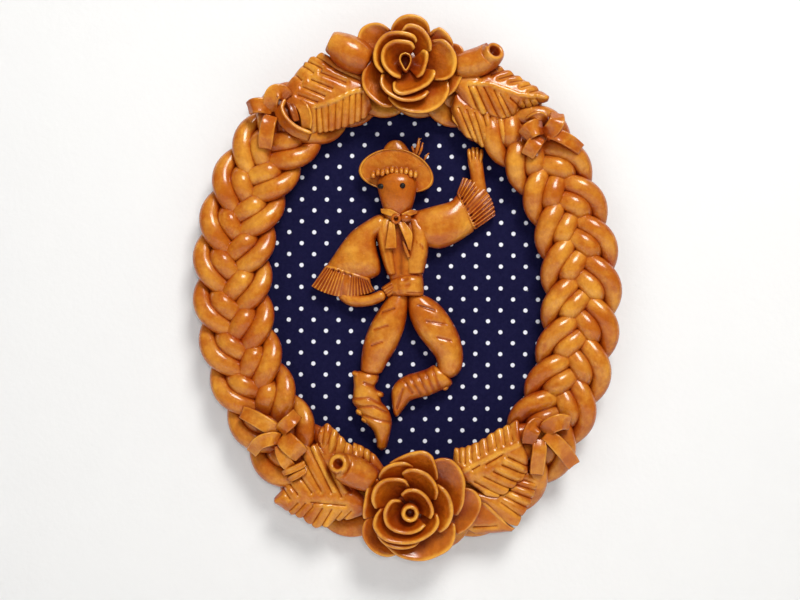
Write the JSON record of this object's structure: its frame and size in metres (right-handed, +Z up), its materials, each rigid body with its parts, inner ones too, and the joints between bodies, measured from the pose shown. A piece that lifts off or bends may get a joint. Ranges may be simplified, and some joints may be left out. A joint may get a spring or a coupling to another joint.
{
  "type": "framed bread dough wall plaque",
  "caption": "Oval wall plaque of baked bread dough: a dancing figure on dotted cloth inside a braided frame with roses, leaves and ribbon bows.",
  "frame": {"origin": "middle of the flat back of the backing board, where it meets the wall", "axes": "+Z up, +Y into the wall, the front faces -Y"},
  "size_m": [0.2099, 0.0315, 0.2632],
  "materials": {
    "baked_dough": "varnished baked dough",
    "navy_cotton": "plain weave with white dots",
    "fibreboard": "plain",
    "black_bead": "gloss"
  },
  "bodies": {
    "root": {"backing_board": "fibreboard", "fabric_panel": "navy_cotton", "braided_frame": "baked_dough", "top_rose": "baked_dough", "bottom_rose": "baked_dough", "top_left_bud": "baked_dough", "top_right_bud": "baked_dough", "bottom_left_bud": "baked_dough", "top_left_leaf": "baked_dough", "top_right_upper_leaf": "baked_dough", "top_right_lower_leaf": "baked_dough", "bottom_left_leaf": "baked_dough", "bottom_left_small_leaf": "baked_dough", "bottom_right_upper_leaf": "baked_dough", "bottom_right_lower_leaf": "baked_dough", "top_left_bow": "baked_dough", "top_right_bow": "baked_dough", "bottom_left_bow": "baked_dough", "bottom_right_bow": "baked_dough", "dancing_figure": "baked_dough", "left_eye": "black_bead", "right_eye": "black_bead"}
  },
  "joints": []
}
